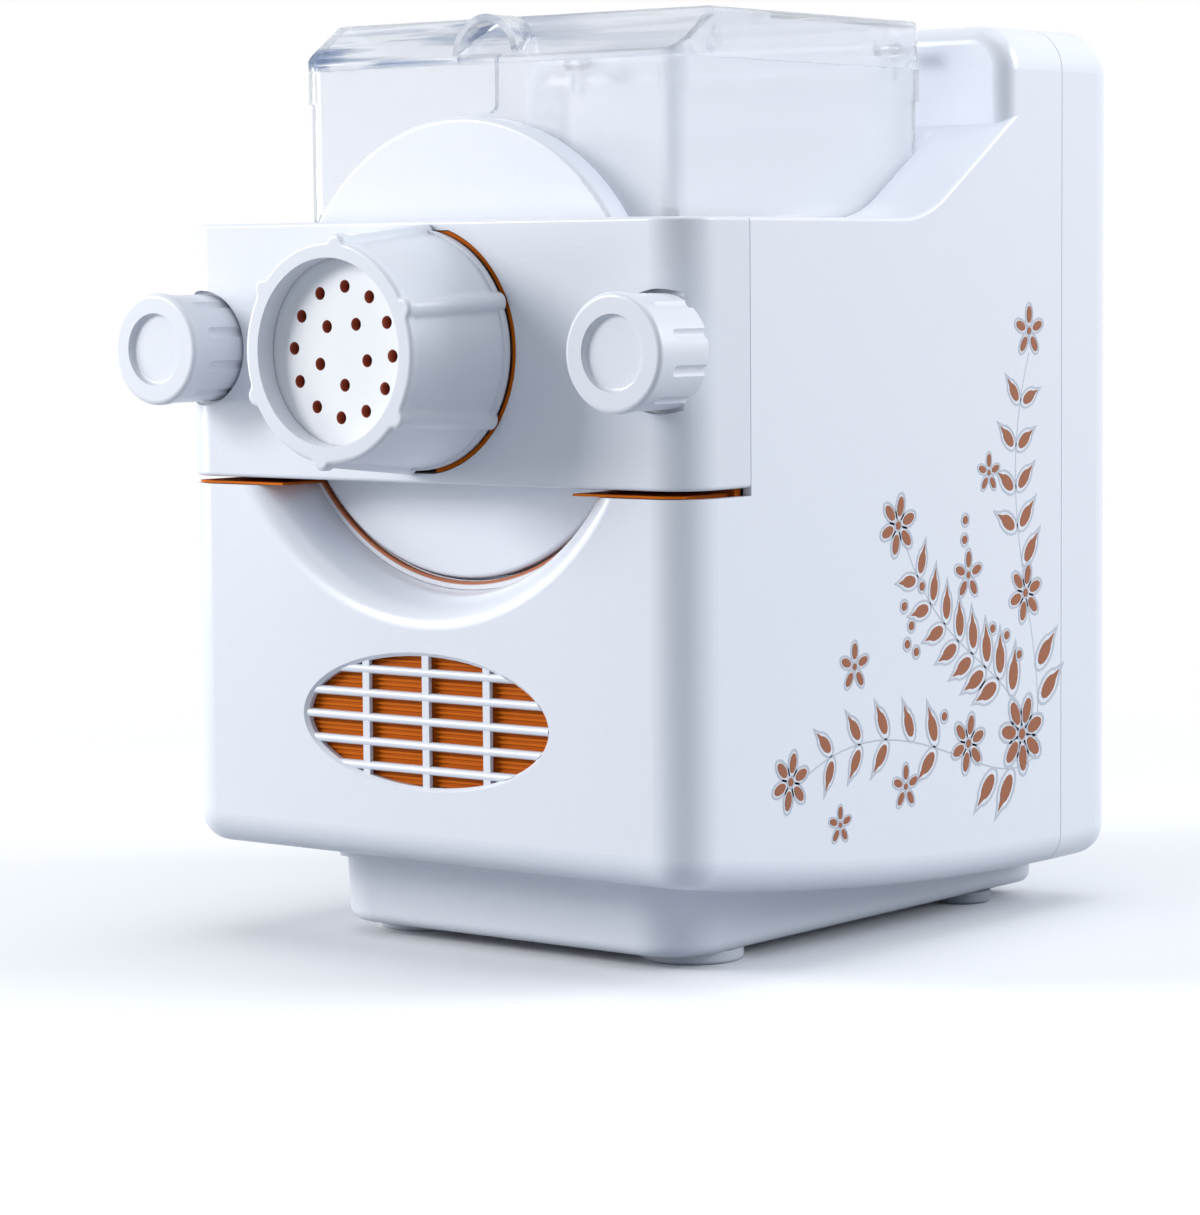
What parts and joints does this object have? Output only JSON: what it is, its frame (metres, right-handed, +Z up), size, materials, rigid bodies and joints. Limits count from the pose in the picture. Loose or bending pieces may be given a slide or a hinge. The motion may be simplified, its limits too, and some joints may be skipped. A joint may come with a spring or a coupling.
{
  "type": "electric pasta maker",
  "caption": "Table-top electric pasta maker: clear mixing bowl with lid, clamp bar with screw knobs, ribbed die cap and round-hole die, geared motor inside.",
  "frame": {"origin": "on the table, under the middle of the bounding box", "axes": "+X across the machine to the right knob, +Y from the die to the back, +Z up"},
  "size_m": [0.217, 0.2836, 0.2925],
  "materials": {
    "body_white": "smooth glossy moulding, slightly cool white",
    "front_white": "smooth satin-gloss moulding, cool white",
    "die_white": "satin food-grade plastic, cool white",
    "amber_plastic": "amber orange moulding behind the openings",
    "clear_plastic": "clear blow-free moulding with a faint blue tint",
    "paddle_white": "food-grade white plastic",
    "soft_seal": "translucent grey silicone",
    "foot_rubber": "pale grey rubber",
    "gear_plastic": "natural engineering plastic",
    "steel": "plated steel",
    "zinc_screw": "bright zinc plate",
    "bronze": "sintered bronze",
    "brass_nut": "turned brass",
    "motor_iron": "varnished laminations",
    "motor_shell": "die-cast aluminium",
    "fan_black": "black plastic",
    "board_green": "solder-masked board",
    "black_plastic": "black moulding",
    "panel_grey": "pale grey overlay",
    "button_white": "white key cap"
  },
  "bodies": {
    "housing": {"main_housing": "body_white", "rear_cover": "body_white", "power_inlet": "black_plastic", "inner_frame": "amber_plastic", "frame_screws": "zinc_screw", "clamp_studs": "steel", "base_plinth": "body_white", "plinth_screws": "zinc_screw", "front_feet": "front_white", "rear_feet": "foot_rubber", "gear_plate_front": "steel", "gear_plate_rear": "steel", "gear_posts": "steel", "output_bearings": "bronze", "idler_bushes": "bronze", "motor_stator": "motor_iron", "motor_bells": "motor_shell", "motor_saddles": "black_plastic", "motor_mount_tube": "motor_shell", "control_panel": "panel_grey", "control_board": "board_green", "bowl_switch": "black_plastic", "cover_screws": "zinc_screw"},
    "bowl": {"mixing_bowl": "clear_plastic", "shaft_seal": "soft_seal"},
    "lid": {"lid": "clear_plastic", "hinge_pins": "steel"},
    "front": {"clamp_plate": "front_white", "pressure_pads": "amber_plastic", "front_disc": "front_white", "disc_gasket": "soft_seal"},
    "washer_left": {"knob_washer_left": "steel"},
    "washer_right": {"knob_washer_right": "steel"},
    "knob_left": {"knob_left": "front_white", "knob_insert_left": "brass_nut"},
    "knob_right": {"knob_right": "front_white", "knob_insert_right": "brass_nut"},
    "die": {"die_plate": "die_white"},
    "cap": {"die_cap": "front_white"},
    "mixer": {"mixer": "paddle_white"},
    "output": {"output_gear": "gear_plastic", "output_shaft": "steel"},
    "idler": {"idler_wheel": "gear_plastic", "idler_pinion": "steel", "idler_axle": "steel"},
    "rotor": {"motor_rotor": "steel", "cooling_fan": "fan_black", "motor_pinion": "steel"},
    "button_1": {"button_1": "button_white"},
    "button_2": {"button_2": "button_white"},
    "button_3": {"button_3": "button_white"}
  },
  "joints": [
    {"name": "bowl_draw", "type": "slide", "parent": "housing", "child": "bowl", "axis": [0, -1, 0], "range_m": [0, 0.175]},
    {"name": "lid_open", "type": "hinge", "parent": "bowl", "child": "lid", "pos_m": [0, 0.0598, 0.2841], "axis": [-1, 0, 0], "range_deg": [0, 95]},
    {"name": "front_draw", "type": "slide", "parent": "bowl", "child": "front", "axis": [0, -1, 0], "range_m": [0, 0.06]},
    {"name": "knob_left_turn", "type": "hinge", "parent": "washer_left", "child": "knob_left", "pos_m": [-0.091, -0.1102, 0.19], "axis": [0, -1, 0], "range_deg": [0, 1080]},
    {"name": "washer_left_slide", "type": "slide", "parent": "front", "child": "washer_left", "axis": [0, -1, 0], "range_m": [0, 0.004]},
    {"name": "knob_right_turn", "type": "hinge", "parent": "washer_right", "child": "knob_right", "pos_m": [0.091, -0.1102, 0.19], "axis": [0, -1, 0], "range_deg": [0, 1080]},
    {"name": "washer_right_slide", "type": "slide", "parent": "front", "child": "washer_right", "axis": [0, -1, 0], "range_m": [0, 0.004]},
    {"name": "cap_turn", "type": "hinge", "parent": "die", "child": "cap", "pos_m": [0, -0.1202, 0.19], "axis": [0, -1, 0], "range_deg": [0, 720]},
    {"name": "die_slide", "type": "slide", "parent": "front", "child": "die", "axis": [0, -1, 0], "range_m": [0, 0.0165]},
    {"name": "output_spin", "type": "hinge", "parent": "housing", "child": "output", "pos_m": [0, 0.1098, 0.19], "axis": [0, 1, 0], "continuous": true},
    {"name": "mixer_spin", "type": "hinge", "parent": "bowl", "child": "mixer", "pos_m": [0, -0.0102, 0.19], "axis": [0, 1, 0], "continuous": true},
    {"name": "idler_spin", "type": "hinge", "parent": "housing", "child": "idler", "pos_m": [0.00938, 0.0998, 0.12821], "axis": [0, 1, 0], "continuous": true},
    {"name": "motor_spin", "type": "hinge", "parent": "housing", "child": "rotor", "pos_m": [0, 0.0098, 0.073], "axis": [0, 1, 0], "continuous": true},
    {"name": "button_1_press", "type": "slide", "parent": "housing", "child": "button_1", "axis": [0, 0, -1], "range_m": [0, 0.0012], "stiffness_N_per_m": 400, "springref_m": -0.0006},
    {"name": "button_2_press", "type": "slide", "parent": "housing", "child": "button_2", "axis": [0, 0, -1], "range_m": [0, 0.0012], "stiffness_N_per_m": 400, "springref_m": -0.0006},
    {"name": "button_3_press", "type": "slide", "parent": "housing", "child": "button_3", "axis": [0, 0, -1], "range_m": [0, 0.0012], "stiffness_N_per_m": 400, "springref_m": -0.0006}
  ],
  "couplings": [
    {"joint": "washer_left_slide", "follows": "knob_left_turn", "m_per_rad": 0.00019894},
    {"joint": "washer_right_slide", "follows": "knob_right_turn", "m_per_rad": 0.00019894},
    {"joint": "die_slide", "follows": "cap_turn", "m_per_rad": 0.0012732},
    {"joint": "mixer_spin", "follows": "output_spin", "ratio": 1},
    {"joint": "idler_spin", "follows": "output_spin", "ratio": -3.1667},
    {"joint": "motor_spin", "follows": "output_spin", "ratio": 13.722}
  ]
}
